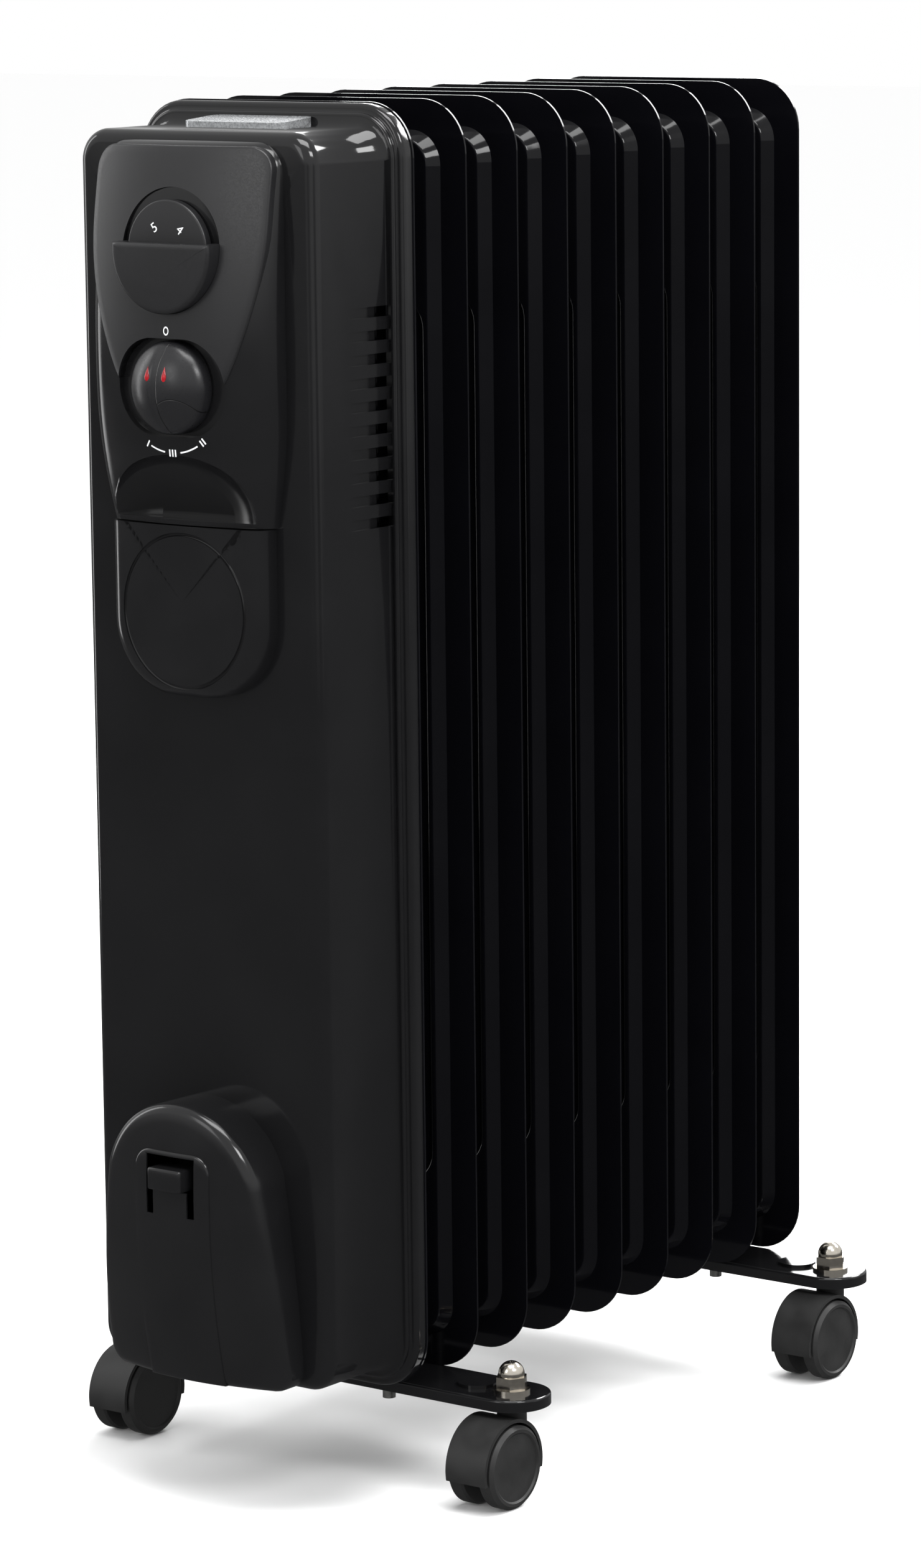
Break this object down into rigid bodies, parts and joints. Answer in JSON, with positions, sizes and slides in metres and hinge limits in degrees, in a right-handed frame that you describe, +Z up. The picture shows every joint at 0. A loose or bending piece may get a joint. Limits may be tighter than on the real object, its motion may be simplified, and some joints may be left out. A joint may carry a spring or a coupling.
{
  "type": "oil filled radiator heater",
  "caption": "Upright finned oil radiator heater with a front control box, thermostat dial, selector knob and twin-wheel castors.",
  "frame": {"origin": "middle of the heater's footprint, on the floor", "axes": "+Z up, control box faces -Y, fins stacked along +Y, +X to the right seen from the front"},
  "size_m": [0.246, 0.4044, 0.628],
  "materials": {
    "black_enamel": "gloss powder coat",
    "gloss_abs": "moulded, gloss",
    "knob_abs": "moulded, gloss",
    "dial_abs": "moulded, satin, white numerals",
    "satin_inlay": "fine satin texture",
    "hood_nylon": "moulded, satin",
    "wheel_nylon": "moulded, fine texture",
    "zinc_steel": "zinc plated",
    "nickel_plate": "bright nickel plate",
    "element_steel": "drawn, heat tinted",
    "black_rubber": "matte",
    "red_lens": "clear red",
    "lamp_glass": "clear",
    "switch_plastic": "moulded phenolic"
  },
  "bodies": {
    "radiator": {"castor_nuts": "nickel_plate", "castor_stem_front_left": "zinc_steel", "castor_stem_front_right": "zinc_steel", "castor_stem_rear_left": "zinc_steel", "castor_stem_rear_right": "zinc_steel", "control_box_shell": "black_enamel", "cord_grommet": "black_rubber", "cord_lip": "gloss_abs", "dial_window_cover": "gloss_abs", "element_flange": "element_steel", "fascia_panel": "gloss_abs", "fascia_shield": "satin_inlay", "filler_plug": "zinc_steel", "fin_1": "black_enamel", "fin_2": "black_enamel", "fin_3": "black_enamel", "fin_4": "black_enamel", "fin_5": "black_enamel", "fin_6": "black_enamel", "fin_7": "black_enamel", "fin_8": "black_enamel", "fin_9": "black_enamel", "foot_bracket_front": "black_enamel", "foot_bracket_rear": "black_enamel", "heating_element_long": "element_steel", "heating_element_short": "element_steel", "leg_cover": "gloss_abs", "lower_header_necks": "black_enamel", "pilot_lamp": "lamp_glass", "selector_switch_body": "switch_plastic", "terminal_block": "switch_plastic", "thermal_cutout": "zinc_steel", "thermostat_body": "switch_plastic", "top_pad": "gloss_abs", "u_bolt_front": "zinc_steel", "u_bolt_nuts": "zinc_steel", "u_bolt_rear": "zinc_steel", "upper_header_necks": "black_enamel", "wire_loom": "black_rubber"},
    "dial": {"thermostat_dial": "dial_abs", "thermostat_shaft": "zinc_steel"},
    "selector": {"selector_knob": "knob_abs", "selector_lenses": "red_lens", "selector_shaft": "zinc_steel"},
    "castor_front_left": {"castor_hood_front_left": "hood_nylon", "castor_axle_front_left": "zinc_steel"},
    "wheel_front_left_left": {"castor_wheel_front_left_left": "wheel_nylon"},
    "wheel_front_left_right": {"castor_wheel_front_left_right": "wheel_nylon"},
    "castor_front_right": {"castor_hood_front_right": "hood_nylon", "castor_axle_front_right": "zinc_steel"},
    "wheel_front_right_left": {"castor_wheel_front_right_left": "wheel_nylon"},
    "wheel_front_right_right": {"castor_wheel_front_right_right": "wheel_nylon"},
    "castor_rear_left": {"castor_hood_rear_left": "hood_nylon", "castor_axle_rear_left": "zinc_steel"},
    "wheel_rear_left_left": {"castor_wheel_rear_left_left": "wheel_nylon"},
    "wheel_rear_left_right": {"castor_wheel_rear_left_right": "wheel_nylon"},
    "castor_rear_right": {"castor_hood_rear_right": "hood_nylon", "castor_axle_rear_right": "zinc_steel"},
    "wheel_rear_right_left": {"castor_wheel_rear_right_left": "wheel_nylon"},
    "wheel_rear_right_right": {"castor_wheel_rear_right_right": "wheel_nylon"}
  },
  "joints": [
    {"name": "thermostat_turn", "type": "hinge", "parent": "radiator", "child": "dial", "pos_m": [0, -0.18466, 0.566], "axis": [0, 1, 0], "range_deg": [-210, 90]},
    {"name": "selector_turn", "type": "hinge", "parent": "radiator", "child": "selector", "pos_m": [0, -0.18666, 0.5066], "axis": [0, 1, 0], "range_deg": [-225, 0]},
    {"name": "swivel_front_left", "type": "hinge", "parent": "radiator", "child": "castor_front_left", "pos_m": [-0.1053, -0.08614, 0.043], "axis": [0, 0, 1], "continuous": true},
    {"name": "spin_front_left_left", "type": "hinge", "parent": "castor_front_left", "child": "wheel_front_left_left", "pos_m": [-0.1053, -0.09984, 0.0192], "axis": [1, 0, 0], "continuous": true},
    {"name": "spin_front_left_right", "type": "hinge", "parent": "castor_front_left", "child": "wheel_front_left_right", "pos_m": [-0.1053, -0.09984, 0.0192], "axis": [1, 0, 0], "continuous": true},
    {"name": "swivel_front_right", "type": "hinge", "parent": "radiator", "child": "castor_front_right", "pos_m": [0.1053, -0.08614, 0.043], "axis": [0, 0, 1], "continuous": true},
    {"name": "spin_front_right_left", "type": "hinge", "parent": "castor_front_right", "child": "wheel_front_right_left", "pos_m": [0.1053, -0.09984, 0.0192], "axis": [1, 0, 0], "continuous": true},
    {"name": "spin_front_right_right", "type": "hinge", "parent": "castor_front_right", "child": "wheel_front_right_right", "pos_m": [0.1053, -0.09984, 0.0192], "axis": [1, 0, 0], "continuous": true},
    {"name": "swivel_rear_left", "type": "hinge", "parent": "radiator", "child": "castor_rear_left", "pos_m": [-0.1053, 0.17744, 0.043], "axis": [0, 0, 1], "continuous": true},
    {"name": "spin_rear_left_left", "type": "hinge", "parent": "castor_rear_left", "child": "wheel_rear_left_left", "pos_m": [-0.1053, 0.16374, 0.0192], "axis": [1, 0, 0], "continuous": true},
    {"name": "spin_rear_left_right", "type": "hinge", "parent": "castor_rear_left", "child": "wheel_rear_left_right", "pos_m": [-0.1053, 0.16374, 0.0192], "axis": [1, 0, 0], "continuous": true},
    {"name": "swivel_rear_right", "type": "hinge", "parent": "radiator", "child": "castor_rear_right", "pos_m": [0.1053, 0.17744, 0.043], "axis": [0, 0, 1], "continuous": true},
    {"name": "spin_rear_right_left", "type": "hinge", "parent": "castor_rear_right", "child": "wheel_rear_right_left", "pos_m": [0.1053, 0.16374, 0.0192], "axis": [1, 0, 0], "continuous": true},
    {"name": "spin_rear_right_right", "type": "hinge", "parent": "castor_rear_right", "child": "wheel_rear_right_right", "pos_m": [0.1053, 0.16374, 0.0192], "axis": [1, 0, 0], "continuous": true}
  ]
}
